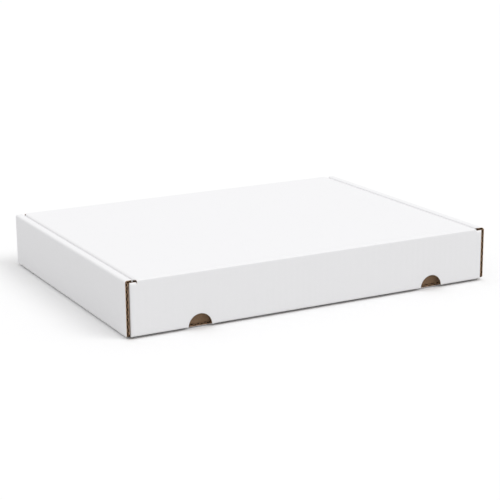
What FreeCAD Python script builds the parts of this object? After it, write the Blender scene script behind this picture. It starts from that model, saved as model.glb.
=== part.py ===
import FreeCAD, Part
import math
import os
import re
import Sketcher

# Corrugated mailer box, closed. Millimetres, +Z up, origin at the middle of the underside.
# X runs along the box, -Y is the front with the thumb cuts, and the lid's crease is at the back.
# The box is one folded sheet. Its three stretches that turn on creases are three pieces:
# the tray, the lid and the lid's outside front flap.

# Driving sizes: name, value and what it measures
SIZES = (
    ("box_length", 350.0, "outside length, along X"),
    ("box_depth", 262.0, "outside depth, from the front flap's face to the back wall's face"),
    ("box_height", 48.0, "outside height, lid closed"),
    ("board", 2.7, "thickness of the corrugated board"),
    ("fold_radius", 2.3, "outside radius of a folded corner"),
    ("pocket_play", 0.3, "free width in a side pocket, beside the corner flap"),
    ("side_setback", 1.7, "how far the side walls' cut edges stand behind the front and back faces"),
    ("flap_gap", 0.3, "gap between the front flap and the front wall"),
    ("lid_side_gap", 0.3, "gap between the lid and a rolled side"),
    ("crease_gap", 0.3, "gap at a turning crease, under its round edge"),
    ("front_wall_drop", 0.7, "gap between the lid and the front wall's rolled top"),
    ("lining_gap", 0.3, "gap between the front wall and its lining, folded down behind it"),
    ("inner_wall_gap", 0.5, "gap between an inner side wall's ends and the front and back walls"),
    ("foot_gap", 0.3, "gap between an inner side wall and the base"),
    ("corner_flap_length", 70.0, "how far a corner flap reaches into its side pocket"),
    ("corner_flap_lift", 0.6, "gap between a corner flap and the base"),
    ("corner_flap_drop", 0.8, "gap between a corner flap and the rolled top"),
    ("tab_length", 42.0, "length of a locking tab, along the side"),
    ("tab_spacing", 132.0, "distance between the middles of the two tabs of a side"),
    ("tab_play", 0.4, "gap all round a locking tab in its slot"),
    ("tab_lift", 0.4, "how far a tab's end stays above the underside"),
    ("lid_flap_foot", 8.0, "height of the lid's side flaps' lower edge above the underside"),
    ("lid_flap_end_gap", 0.8, "gap between a lid side flap and the front or back wall, at its top"),
    ("lid_flap_taper", 9.0, "how much each end of a lid side flap leans in towards its lower edge"),
    ("lid_bend_setback", 3.0, "how far the lid's side folds start behind the front and back faces"),
    ("flap_side_inset", 3.5, "how far the front flap's side edges stand in from the outer side walls"),
    ("flap_corner_drop", 0.5, "gap between the front flap's top corners and the level of the lid's underside"),
    ("flap_lift", 1.3, "height of the front flap's free lower edge above the underside"),
    ("thumb_radius", 11.0, "radius of a half-round thumb cut in the front flap"),
    ("thumb_spacing", 227.5, "distance between the middles of the two thumb cuts"),
    ("thumb_offset", 3.5, "how far the pair of thumb cuts stands to the right of the middle"),
    ("wall_cut_radius", 11.4, "radius of the half-round cuts in the front wall behind"),
    ("liner", 0.35, "thickness of the board's two flat liners"),
    ("flute_pitch", 5.8, "distance from flute to flute"),
    ("flute_mouth", 4.7, "width of a flute's hollow where it lies on the liner"),
    ("flute_depth", 1.65, "depth of a flute's hollow"),
    ("flute_crest", 1.2, "radius of a flute's crest"),
)

# Places worked out from the sizes, as formulas
HALF_LENGTH = "(box_length / 2)"
HALF_DEPTH = "(box_depth / 2)"
ROLL_WIDTH = "(3 * board + pocket_play)"
CREASE_RADIUS = "(board / 2)"
CREASE_HEIGHT = "(box_height - board / 2)"
LID_UNDERSIDE = "(box_height - board)"
WALL_FACE = "(box_depth / 2 - board - flap_gap)"
WALL_TOP = "(box_height - board - front_wall_drop)"
BACK_TOP = "(box_height - board - crease_gap)"
PANEL_HALF = "(box_length / 2 - 3 * board - pocket_play - lid_side_gap)"
WALL_HALF = "(box_length / 2 - board - pocket_play / 2)"
LINING_HALF = "(box_length / 2 - 4 * board - pocket_play - 2 * lid_side_gap)"
FOOT = "(board + foot_gap)"

# How closely an edge has to lie along an axis and at a place to be picked
DIRECTION_TOLERANCE = 0.001
PLACE_TOLERANCE = 0.01

doc = FreeCAD.newDocument("mailer_box")
sheet = doc.addObject("Spreadsheet::Sheet", "sizes")
for row, (alias, value, meaning) in enumerate(SIZES, start=1):
    sheet.set("A%d" % row, alias)
    sheet.set("B%d" % row, str(value))
    sheet.setAlias("B%d" % row, alias)
    sheet.set("C%d" % row, meaning)
doc.recompute()

ALIASES = {alias for alias, value, meaning in SIZES}


def bound(formula):
    """The formula with each size's name pointing at its cell."""
    def cell(word):
        """A size's name becomes its cell; any other word stays."""
        name = word.group()
        return "sizes." + name if name in ALIASES else name

    return re.sub(r"[a-z_]+", cell, formula)


def value_of(formula):
    """The number that a formula gives now."""
    return float(sheet.evalExpression(bound(formula)))


def new_body(name):
    """An empty body whose label is the piece's name."""
    body = doc.addObject("PartDesign::Body", name)
    body.Label = name
    return body


def new_sketch(body, name, plane, offset=None):
    """A sketch on one of the body's own origin planes, moved along the plane's normal by a formula."""
    sketch = body.newObject("Sketcher::SketchObject", name)
    support = [item for item in body.Origin.OriginFeatures if item.Role == plane][0]
    sketch.AttachmentSupport = (support, [""])
    sketch.MapMode = "FlatFace"
    if offset:
        sketch.setExpression(".AttachmentOffset.Base.z", bound(offset))
    return sketch


def pin_point(sketch, geometry, point, across, up):
    """Ties one point of a sketch to its two formulas."""
    for kind, formula in (("DistanceX", across), ("DistanceY", up)):
        index = sketch.addConstraint(Sketcher.Constraint(kind, -1, 1, geometry, point, value_of(formula)))
        sketch.setExpression("Constraints[%d]" % index, bound(formula))


def add_outline(sketch, corners):
    """Adds one closed outline of straight edges; each corner is two formulas."""
    first = sketch.GeometryCount
    count = len(corners)
    places = [FreeCAD.Vector(value_of(across), value_of(up), 0) for across, up in corners]
    for index in range(count):
        edge = Part.LineSegment(places[index], places[(index + 1) % count])
        sketch.addGeometry(edge, False)
    for index in range(count):
        following = first + (index + 1) % count
        sketch.addConstraint(Sketcher.Constraint("Coincident", first + index, 2, following, 1))
    for index, (across, up) in enumerate(corners):
        pin_point(sketch, first + index, 1, across, up)


def add_circle(sketch, across, up, radius):
    """Adds one circle with its middle and radius as formulas."""
    middle = FreeCAD.Vector(value_of(across), value_of(up), 0)
    circle = Part.Circle(middle, FreeCAD.Vector(0, 0, 1), value_of(radius))
    geometry = sketch.addGeometry(circle, False)
    pin_point(sketch, geometry, 3, across, up)
    index = sketch.addConstraint(Sketcher.Constraint("Radius", geometry, value_of(radius)))
    sketch.setExpression("Constraints[%d]" % index, bound(radius))


def add_flute(sketch, place, middle, sense):
    """Adds one flute's hollow: a mouth on the liner, two flanks and a round crest between them.

    place turns a step along the board and a depth into it, both formulas, into a point of the sketch."""
    half_mouth = "(flute_mouth / 2)"
    low = place(middle + " - " + half_mouth, "0")
    high = place(middle + " + " + half_mouth, "0")
    heart = place(middle, "(flute_depth - flute_crest)")
    first = sketch.GeometryCount
    start, end, centre = [FreeCAD.Vector(value_of(across), value_of(up), 0) for across, up in (low, high, heart)]
    radius = value_of("flute_crest")
    # A flank touches the crest where its line from the mouth's corner is square to the radius
    touches = []
    for corner, turn in ((end, sense), (start, -sense)):
        reach = corner - centre
        angle = math.atan2(reach.y, reach.x) + turn * math.acos(radius / reach.Length)
        touches.append(centre + FreeCAD.Vector(radius * math.cos(angle), radius * math.sin(angle), 0))
    begin, finish = (touches[0], touches[1]) if sense > 0 else (touches[1], touches[0])
    crest = Part.ArcOfCircle(
        Part.Circle(centre, FreeCAD.Vector(0, 0, 1), radius),
        math.atan2(begin.y - centre.y, begin.x - centre.x),
        math.atan2(finish.y - centre.y, finish.x - centre.x))
    sketch.addGeometry(Part.LineSegment(start, end), False)
    sketch.addGeometry(Part.LineSegment(end, touches[0]), False)
    sketch.addGeometry(crest, False)
    sketch.addGeometry(Part.LineSegment(touches[1], start), False)
    near, far = (1, 2) if sense > 0 else (2, 1)
    sketch.addConstraint(Sketcher.Constraint("Coincident", first, 2, first + 1, 1))
    sketch.addConstraint(Sketcher.Constraint("Coincident", first + 3, 2, first, 1))
    sketch.addConstraint(Sketcher.Constraint("Tangent", first + 1, 2, first + 2, near))
    sketch.addConstraint(Sketcher.Constraint("Tangent", first + 2, far, first + 3, 1))
    pin_point(sketch, first, 1, *low)
    pin_point(sketch, first, 2, *high)
    pin_point(sketch, first + 2, 3, *heart)
    index = sketch.addConstraint(Sketcher.Constraint("Radius", first + 2, radius))
    sketch.setExpression("Constraints[%d]" % index, bound("flute_crest"))


def pad(body, name, sketch, length, symmetric=False):
    """Adds material along the sketch's normal, or half to each side of it."""
    feature = body.newObject("PartDesign::Pad", name)
    feature.Profile = sketch
    feature.setExpression("Length", bound(length))
    if symmetric:
        feature.SideType = "Symmetric"
    doc.recompute()
    return feature


def pocket(body, name, sketch, length, along_normal=False):
    """Removes material against the sketch's normal, or along it."""
    before = body.Shape.Volume
    feature = body.newObject("PartDesign::Pocket", name)
    feature.Profile = sketch
    feature.Reversed = along_normal
    feature.setExpression("Length", bound(length))
    doc.recompute()
    if not body.Shape.Volume < before:
        raise RuntimeError("%s removes nothing" % name)
    return feature


def repeat(body, name, feature, direction, count, step):
    """Repeats a feature along a sketch's axis, a count of times, a step apart."""
    before = body.Shape.Volume
    pattern = body.newObject("PartDesign::LinearPattern", name)
    pattern.Originals = [feature]
    pattern.Direction = direction
    pattern.setExpression("Length", bound("(%s - 1) * %s" % (count, step)))
    pattern.setExpression("Occurrences", bound(count))
    body.Tip = pattern
    doc.recompute()
    if not body.Shape.Volume < before:
        raise RuntimeError("%s removes nothing" % name)
    return pattern


def round_edges(body, name, radius, chosen):
    """Rounds the edges of the body that the test picks."""
    base = body.Tip
    edges = ["Edge%d" % index for index, edge in enumerate(base.Shape.Edges, start=1) if chosen(edge)]
    feature = body.newObject("PartDesign::Fillet", name)
    feature.Base = (base, edges)
    feature.setExpression("Radius", bound(radius))
    doc.recompute()
    return feature


def lies_along(edge, axis, **place):
    """True for a straight edge along an axis whose other coordinates are the ones given."""
    if not isinstance(edge.Curve, Part.Line):
        return False
    if abs(abs(getattr(edge.Curve.Direction, axis)) - 1) > DIRECTION_TOLERANCE:
        return False
    middle = edge.CenterOfMass
    return all(abs(abs(getattr(middle, key)) - abs(where)) < PLACE_TOLERANCE for key, where in place.items())


# Tray: rolled side walls, which go up, over and down again inside
tray = new_body("tray")
base_sheet = new_sketch(tray, "base_outline", "XY_Plane")
base_half = "(box_length / 2 - board / 2)"
base_front = "-(" + WALL_FACE + " - fold_radius)"
base_back = "(box_depth / 2 - fold_radius)"
add_outline(base_sheet, [
    ("-" + base_half, base_front),
    (base_half, base_front),
    (base_half, base_back),
    ("-" + base_half, base_back),
])
pad(tray, "base", base_sheet, "board")

roll_section = new_sketch(tray, "rolled_wall_section", "XZ_Plane")
for side in ("-", ""):
    outer = side + HALF_LENGTH
    outer_inside = side + "(box_length / 2 - board)"
    inner_outside = side + "(box_length / 2 - 2 * board - pocket_play)"
    inner = side + "(box_length / 2 - 3 * board - pocket_play)"
    add_outline(roll_section, [
        (outer, "0"),
        (outer, "box_height"),
        (inner, "box_height"),
        (inner, FOOT),
        (inner_outside, FOOT),
        (inner_outside, LID_UNDERSIDE),
        (outer_inside, LID_UNDERSIDE),
        (outer_inside, "0"),
    ])
pad(tray, "rolled_walls", roll_section, "box_depth - 2 * side_setback", symmetric=True)

roll_inner = value_of(HALF_LENGTH) - value_of(ROLL_WIDTH)
round_edges(tray, "rolled_wall_folds", "fold_radius", lambda edge: (
    lies_along(edge, "y", x=value_of(HALF_LENGTH), z=0)
    or lies_along(edge, "y", x=value_of(HALF_LENGTH), z=value_of("box_height"))
    or lies_along(edge, "y", x=roll_inner, z=value_of("box_height"))))

# The inner walls end just inside the front and back walls
inner_ends = new_sketch(tray, "inner_wall_ends", "XY_Plane", "board")
inner_low = "(box_length / 2 - 3 * board - 2 * pocket_play)"
inner_high = "(box_length / 2 - 2 * board - pocket_play)"
for side in ("-", ""):
    for near, far in (
            ("-(" + WALL_FACE + " - board - inner_wall_gap)", "-" + HALF_DEPTH),
            ("(box_depth / 2 - board - inner_wall_gap)", HALF_DEPTH)):
        add_outline(inner_ends, [
            (side + inner_low, near),
            (side + inner_high, near),
            (side + inner_high, far),
            (side + inner_low, far),
        ])
pocket(tray, "inner_wall_trim", inner_ends, "box_height - 2 * board", along_normal=True)

# The rolled tops end behind the front flap, which rises past them with the lid
top_ends = new_sketch(tray, "rolled_top_ends", "XY_Plane", "box_height")
for side in ("-", ""):
    add_outline(top_ends, [
        (side + inner_low, "-" + WALL_FACE),
        (side + "(box_length / 2 - board)", "-" + WALL_FACE),
        (side + "(box_length / 2 - board)", "-" + HALF_DEPTH),
        (side + inner_low, "-" + HALF_DEPTH),
    ])
pocket(tray, "rolled_top_trim", top_ends, "board")

# Flutes: the wave of the board leaves hollows that run along the rolled walls and open at their cut ends
flute_rows = new_sketch(tray, "wall_flute_section", "XZ_Plane", HALF_DEPTH)
first_flute = "(board + flute_mouth / 2)"
for side in (-1, 1):
    sign = "-" if side < 0 else ""
    for leaf_face, inwards in (
            ("(box_length / 2 - liner)", -1),
            ("(box_length / 2 - board + liner)", 1),
            ("(box_length / 2 - 2 * board - pocket_play - liner)", -1),
            ("(box_length / 2 - 3 * board - pocket_play + liner)", 1)):
        lift = "" if inwards < 0 else " + flute_pitch / 2"
        step = " - " if inwards < 0 else " + "

        def in_wall(along, depth, sign=sign, leaf_face=leaf_face, step=step):
            """A point of an upright wall, from its height and its depth behind a liner."""
            return (sign + "(" + leaf_face + step + depth + ")", along)

        add_flute(flute_rows, in_wall, first_flute + lift, side * inwards * -1)
wall_flutes = pocket(tray, "wall_flutes", flute_rows, "box_depth")
repeat(tray, "wall_flute_rows", wall_flutes, (flute_rows, ["V_Axis"]),
       "floor((box_height - 2 * board) / flute_pitch)", "flute_pitch")

top_flute = new_sketch(tray, "top_flute_section", "XZ_Plane", HALF_DEPTH)
for side in (-1, 1):
    sign = "-" if side < 0 else ""

    def in_top(along, depth, sign=sign):
        """A point of the rolled top, from its step across the top and its depth above the lower liner."""
        across = sign + "(box_length / 2 - " + ROLL_WIDTH + " / 2 + " + along + ")"
        return (across, LID_UNDERSIDE + " + liner + " + depth)

    add_flute(top_flute, in_top, "0", side)
pocket(tray, "top_flutes", top_flute, "box_depth")

# Front wall, base and back wall, one stretch of board with two bottom folds
wall_section = new_sketch(tray, "front_and_back_section", "YZ_Plane")
front_face = "-" + WALL_FACE
front_inside = "-(" + WALL_FACE + " - board)"
back_inside = "(box_depth / 2 - board)"
add_outline(wall_section, [
    (front_face, "0"),
    (HALF_DEPTH, "0"),
    (HALF_DEPTH, BACK_TOP),
    (back_inside, BACK_TOP),
    (back_inside, "board"),
    (front_inside, "board"),
    (front_inside, WALL_TOP),
    (front_face, WALL_TOP),
])
pad(tray, "front_and_back_walls", wall_section, "2 * (" + WALL_HALF + " - fold_radius)", symmetric=True)
round_edges(tray, "bottom_folds", "fold_radius", lambda edge: (
    lies_along(edge, "x", y=value_of(WALL_FACE), z=0) and edge.CenterOfMass.y < 0
    or lies_along(edge, "x", y=value_of(HALF_DEPTH), z=0) and edge.CenterOfMass.y > 0))

# The front wall is rolled as well: its lining folds over the top and stands on the base behind it
lining_section = new_sketch(tray, "front_lining_section", "YZ_Plane")
lining_front = "-(" + WALL_FACE + " - board - lining_gap)"
lining_back = "-(" + WALL_FACE + " - 2 * board - lining_gap)"
wall_middle = "-(" + WALL_FACE + " - board / 2)"
add_outline(lining_section, [
    (wall_middle, WALL_TOP),
    (wall_middle, "(" + WALL_TOP + " - board)"),
    (lining_front, "(" + WALL_TOP + " - board)"),
    (lining_front, FOOT),
    (lining_back, FOOT),
    (lining_back, WALL_TOP),
])
pad(tray, "front_lining", lining_section, "2 * " + LINING_HALF, symmetric=True)
round_edges(tray, "front_lining_folds", "fold_radius", lambda edge: (
    lies_along(edge, "x", y=value_of(WALL_FACE), z=value_of(WALL_TOP)) and edge.CenterOfMass.y < 0
    or lies_along(edge, "x", y=value_of(lining_back), z=value_of(WALL_TOP)) and edge.CenterOfMass.y < 0))

# Corner flaps: the walls' ends turn into the side pockets
flap_inside = "(" + WALL_HALF + " - board)"
wall_end = "(" + WALL_HALF + " - fold_radius)"
corner_floor = "(board + corner_flap_lift)"
for wall, face, inside, tip, top in (
        ("front", front_face, front_inside, "-(" + WALL_FACE + " - corner_flap_length)", WALL_TOP),
        ("back", HALF_DEPTH, back_inside, "(box_depth / 2 - corner_flap_length)", BACK_TOP)):
    plan = new_sketch(tray, wall + "_corner_plan", "XY_Plane", corner_floor)
    for side in ("-", ""):
        add_outline(plan, [
            (side + wall_end, face),
            (side + WALL_HALF, face),
            (side + WALL_HALF, tip),
            (side + flap_inside, tip),
            (side + flap_inside, inside),
            (side + wall_end, inside),
        ])
    corner_top = "(box_height - board - corner_flap_drop)"
    pad(tray, wall + "_corner_flaps", plan, corner_top + " - " + corner_floor)
    face_place = abs(value_of(face))
    side_of_box = -1 if wall == "front" else 1
    round_edges(tray, wall + "_corner_folds", "fold_radius", lambda edge: (
        lies_along(edge, "z", x=value_of(WALL_HALF), y=face_place)
        and edge.CenterOfMass.y * side_of_box > 0))

# Locking tabs on the inner walls' feet, in slots of the base
tab_outside = "(box_length / 2 - 2 * board - pocket_play)"
tab_inside = "(box_length / 2 - 3 * board - pocket_play)"
for name, plane_height, margin in (("tab_slots", "board", "tab_play"), ("locking_tabs", "tab_lift", "0")):
    plan = new_sketch(tray, name + "_plan", "XY_Plane", plane_height)
    for side in ("-", ""):
        for end in ("-", ""):
            near = end + "(tab_spacing / 2 - tab_length / 2 - " + margin + ")"
            far = end + "(tab_spacing / 2 + tab_length / 2 + " + margin + ")"
            add_outline(plan, [
                (side + "(" + tab_inside + " - " + margin + ")", near),
                (side + "(" + tab_outside + " + " + margin + ")", near),
                (side + "(" + tab_outside + " + " + margin + ")", far),
                (side + "(" + tab_inside + " - " + margin + ")", far),
            ])
    if name == "tab_slots":
        pocket(tray, name, plan, "board")
    else:
        pad(tray, name, plan, FOOT + " - tab_lift")

# Half-round cuts in the front wall, through its bottom fold
wall_cuts = new_sketch(tray, "front_wall_cut_outline", "XZ_Plane", HALF_DEPTH)
for side in ("-", "+"):
    add_circle(wall_cuts, "(thumb_offset " + side + " thumb_spacing / 2)", "flap_lift", "wall_cut_radius")
pocket(tray, "front_wall_cuts", wall_cuts, "2 * board + flap_gap")

# Lid: top panel with side flaps, folded down inside the rolled walls
lid = new_body("lid")
lid_section = new_sketch(lid, "lid_section", "XZ_Plane")
panel_inside = "(" + PANEL_HALF + " - board)"
add_outline(lid_section, [
    ("-" + PANEL_HALF, "lid_flap_foot"),
    ("-" + PANEL_HALF, "box_height"),
    (PANEL_HALF, "box_height"),
    (PANEL_HALF, "lid_flap_foot"),
    (panel_inside, "lid_flap_foot"),
    (panel_inside, LID_UNDERSIDE),
    ("-" + panel_inside, LID_UNDERSIDE),
    ("-" + panel_inside, "lid_flap_foot"),
])
pad(lid, "lid_and_side_flaps", lid_section, "box_depth - 2 * lid_bend_setback", symmetric=True)
round_edges(lid, "lid_side_folds", "fold_radius", lambda edge: (
    lies_along(edge, "y", x=value_of(PANEL_HALF), z=value_of("box_height"))))

# The side flaps' ends lean in, clear of the front and back walls while the lid turns
flap_ends = new_sketch(lid, "side_flap_ends", "YZ_Plane", "-" + HALF_LENGTH)
front_top = "(" + WALL_FACE + " - board - lid_flap_end_gap)"
back_top = "(box_depth / 2 - board - lid_flap_end_gap)"
for side, top in (("-", front_top), ("", back_top)):
    add_outline(flap_ends, [
        (side + top, LID_UNDERSIDE),
        (side + "(" + top + " - lid_flap_taper)", "lid_flap_foot"),
        (side + HALF_DEPTH, "lid_flap_foot"),
        (side + HALF_DEPTH, LID_UNDERSIDE),
    ])
pocket(lid, "side_flap_tapers", flap_ends, "box_length", along_normal=True)

# The panel's front and back ends finish in the round of a crease
crease_sketch = new_sketch(lid, "crease_ends", "YZ_Plane")
for side in ("-", ""):
    crease_place = side + "(box_depth / 2 - board / 2)"
    bend_place = side + "(box_depth / 2 - lid_bend_setback)"
    add_outline(crease_sketch, [
        (crease_place, LID_UNDERSIDE),
        (bend_place, LID_UNDERSIDE),
        (bend_place, "box_height"),
        (crease_place, "box_height"),
    ])
pad(lid, "panel_ends", crease_sketch, "2 * " + PANEL_HALF, symmetric=True)
round_sketch = new_sketch(lid, "crease_rounds", "YZ_Plane")
for side in ("-", ""):
    add_circle(round_sketch, side + "(box_depth / 2 - board / 2)", CREASE_HEIGHT, CREASE_RADIUS)
pad(lid, "creases", round_sketch, "2 * " + PANEL_HALF, symmetric=True)

# Front flap: hangs outside the front wall, with thumb cuts in its free lower edge
front_flap = new_body("front_flap")
flap_outline = new_sketch(front_flap, "flap_outline", "XZ_Plane", "(box_depth / 2 - board)")
flap_half = "(box_length / 2 - flap_side_inset)"
flap_top = "(box_height - board - crease_gap)"
flap_shoulder = "(box_height - board - flap_corner_drop)"
add_outline(flap_outline, [
    ("-" + flap_half, "flap_lift"),
    (flap_half, "flap_lift"),
    (flap_half, flap_shoulder),
    (PANEL_HALF, flap_shoulder),
    (PANEL_HALF, flap_top),
    ("-" + PANEL_HALF, flap_top),
    ("-" + PANEL_HALF, flap_shoulder),
    ("-" + flap_half, flap_shoulder),
])
pad(front_flap, "flap", flap_outline, "board")

# Its flutes stand upright, and open at the lower edge and in the thumb cuts
flap_flute_row = new_sketch(front_flap, "flap_flute_section", "XY_Plane")
first_place = "(-" + flap_half + " + flute_mouth)"


def in_flap_front(along, depth):
    """A point of the flap's section, from its place along X and its depth behind the front liner."""
    return (along, "-(box_depth / 2 - liner - " + depth + ")")


def in_flap_back(along, depth):
    """A point of the flap's section, from its place along X and its depth before the back liner."""
    return (along, "-(box_depth / 2 - board + liner + " + depth + ")")


add_flute(flap_flute_row, in_flap_front, first_place, 1)
add_flute(flap_flute_row, in_flap_back, first_place + " + flute_pitch / 2", -1)
flap_flutes = pocket(front_flap, "flap_flutes", flap_flute_row, "box_height", along_normal=True)
repeat(front_flap, "flap_flute_row", flap_flutes, (flap_flute_row, ["H_Axis"]),
       "floor((2 * " + flap_half + " - 2 * flute_mouth) / flute_pitch)", "flute_pitch")

thumb_cuts = new_sketch(front_flap, "thumb_cut_outline", "XZ_Plane", HALF_DEPTH)
for side in ("-", "+"):
    add_circle(thumb_cuts, "(thumb_offset " + side + " thumb_spacing / 2)", "flap_lift", "thumb_radius")
pocket(front_flap, "thumb_cuts", thumb_cuts, "board")

# Every feature and piece is checked before anything is written
doc.recompute()
for item in doc.Objects:
    if "Invalid" in item.State or "Error" in item.State:
        raise RuntimeError("%s failed" % item.Label)

PIECES = (tray, lid, front_flap)
for piece in PIECES:
    if piece.Shape.isNull() or not piece.Shape.isValid():
        raise RuntimeError("%s has no valid shape" % piece.Label)

os.makedirs("parts", exist_ok=True)
for piece in PIECES:
    piece.Shape.exportStep("parts/%s.step" % piece.Label)
    box = piece.Shape.BoundBox
    print("%s: %d solid, %.0f cubic mm, X %.2f to %.2f, Y %.2f to %.2f, Z %.2f to %.2f" % (
        piece.Label, len(piece.Shape.Solids), piece.Shape.Volume,
        box.XMin, box.XMax, box.YMin, box.YMax, box.ZMin, box.ZMax))
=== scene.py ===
import logging
import math
from dataclasses import dataclass, field
from enum import Enum
from typing import Callable, Optional, Sequence

import bpy
import numpy as np
from mathutils import Matrix, Vector


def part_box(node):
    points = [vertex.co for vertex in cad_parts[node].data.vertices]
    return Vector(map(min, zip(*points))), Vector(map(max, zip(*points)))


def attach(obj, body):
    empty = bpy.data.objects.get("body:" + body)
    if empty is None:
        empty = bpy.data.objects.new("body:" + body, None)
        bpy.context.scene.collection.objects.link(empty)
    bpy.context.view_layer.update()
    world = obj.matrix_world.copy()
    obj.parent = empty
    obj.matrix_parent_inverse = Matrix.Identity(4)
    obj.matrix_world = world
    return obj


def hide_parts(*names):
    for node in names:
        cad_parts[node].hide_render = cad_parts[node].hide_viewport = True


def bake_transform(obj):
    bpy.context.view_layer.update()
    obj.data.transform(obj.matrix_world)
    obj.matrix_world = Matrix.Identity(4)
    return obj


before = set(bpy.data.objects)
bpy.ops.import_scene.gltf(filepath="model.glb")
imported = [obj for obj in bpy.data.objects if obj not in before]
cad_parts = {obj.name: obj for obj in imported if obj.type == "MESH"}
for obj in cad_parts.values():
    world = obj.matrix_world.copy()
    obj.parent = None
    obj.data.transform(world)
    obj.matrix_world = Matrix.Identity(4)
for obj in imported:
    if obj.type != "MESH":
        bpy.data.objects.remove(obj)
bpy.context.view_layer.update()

# Corrugated mailer box, closed. Lengths in this file are millimetres in the row frame until a mesh is made:
# X runs along the box, -Y is the front with the thumb cuts, and +Z is up.

LOG = logging.getLogger("mailer_box")
METRES = 0.001
IMAGE_PIXELS = 500
# A distance that means that no cut edge is near
FAR = 1000.0
# Steps round a quarter turn, and steps of the paper wave for each flute
TURN_STEPS = 10
FLUTE_STEPS = 12
# The base's number among the legs of the chain of side walls and base, and how near a number counts as a leg's
BASE_LEG = 3
ON_LEG = 0.1
# Half the width of a step in a cut edge, a small margin past an edge, and the least width of a column of cells
JUMP = 0.02
MARGIN = 0.1
LEAST_COLUMN = 0.015
# The rim attribute falls by e over this distance from a cut edge, and edges sharper than this angle stay sharp
RIM_FADE = 0.9
SHARP_ANGLE = 40.0


class Finish(Enum):
    """The finishes of a face of board, in the order of a piece's material slots."""

    WHITE = 0
    KRAFT = 1
    # The flutes' finish is brown paper darkened far below its own colour: painted shade for the hollows between the
    # flutes.
    FLUTE = 2
    CUT = 3


@dataclass(frozen=True)
class Board:
    """The corrugated board: two flat liners with a wave of paper, the medium, glued between them.

    drift holds the slow shifts of the wave, each with its size, its length and its start. fold_crush is the share
    of the wave's height that a fold takes. pinch_reach is how far in from a cut edge the die presses the board.
    """

    thickness: float = 2.7
    liner: float = 0.35
    medium: float = 0.32
    pitch: float = 5.8
    drift: tuple[tuple[float, float, float], ...] = ((0.35, 41.0, 0.0), (0.22, 17.3, 1.1))
    fold_crush: float = 0.55
    fold_radius: float = 2.0
    roll_radius: float = 1.8
    bottom_radius: float = 2.4
    lid_radius: float = 2.6
    crease_radius: float = 1.2
    inner_radius: float = 0.25
    tight_radius: float = 0.1
    pinch_reach: float = 1.8
    edge_lines: tuple[float, ...] = (0.0, 0.2, 0.5, 0.9, 1.5, 3.0)
    liner_step: float = 6.0

    @property
    def medium_step(self) -> float:
        """Step of the wave's points across the flutes."""
        return self.pitch / FLUTE_STEPS

    @property
    def fold_radii(self) -> tuple[float, float]:
        """Outer and inner radius of a plain fold."""
        return self.fold_radius, self.inner_radius

    def pinch(self, distance: np.ndarray, loss: float | np.ndarray) -> np.ndarray:
        """How much of the thickness is left at a distance from a die-cut edge.

        The die presses the outer face in: the share falls as a quarter circle from 1 inside to 1 minus the loss at
        the cut.

        Args:
            distance: distances from the cut edge, in millimetres.
            loss: the share of the thickness that is lost at the cut.

        Returns:
            The share of the full thickness, one per distance.
        """
        step = 1.0 - np.clip(distance / self.pinch_reach, 0.0, 1.0)
        return 1.0 - loss * (1.0 - np.sqrt(1.0 - step * step))

    def wave(self, run: np.ndarray) -> np.ndarray:
        """The flute's place between the liners, from 0 on the inner face to 1 on the outer face.

        A cosine of the run across the flutes, with a slow drift of a few percent, as glued paper has.

        Args:
            run: distance across the flutes, in millimetres.

        Returns:
            The share of the thickness at which the middle of the medium lies.
        """
        reach = 0.5 - (self.liner + self.medium / 2) / self.thickness
        drift = sum(size * np.sin(run / length + start) for size, length, start in self.drift)
        return 0.5 + reach * np.cos(2 * math.pi * run / self.pitch + drift)

    def spread(self, lengths: np.ndarray, middle: Sequence[float]) -> np.ndarray:
        """Shares of upright lines' lengths: the edge lines near both ends and some shares between.

        Args:
            lengths: the lines' lengths.
            middle: the shares between.

        Returns:
            One row of shares for each line.
        """
        edges = np.asarray(self.edge_lines)[None, :] / lengths[:, None]
        even = np.broadcast_to(np.asarray(middle), (len(lengths), len(middle)))
        return np.concatenate([edges, even, 1.0 - edges[:, ::-1]], axis=1)


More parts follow.
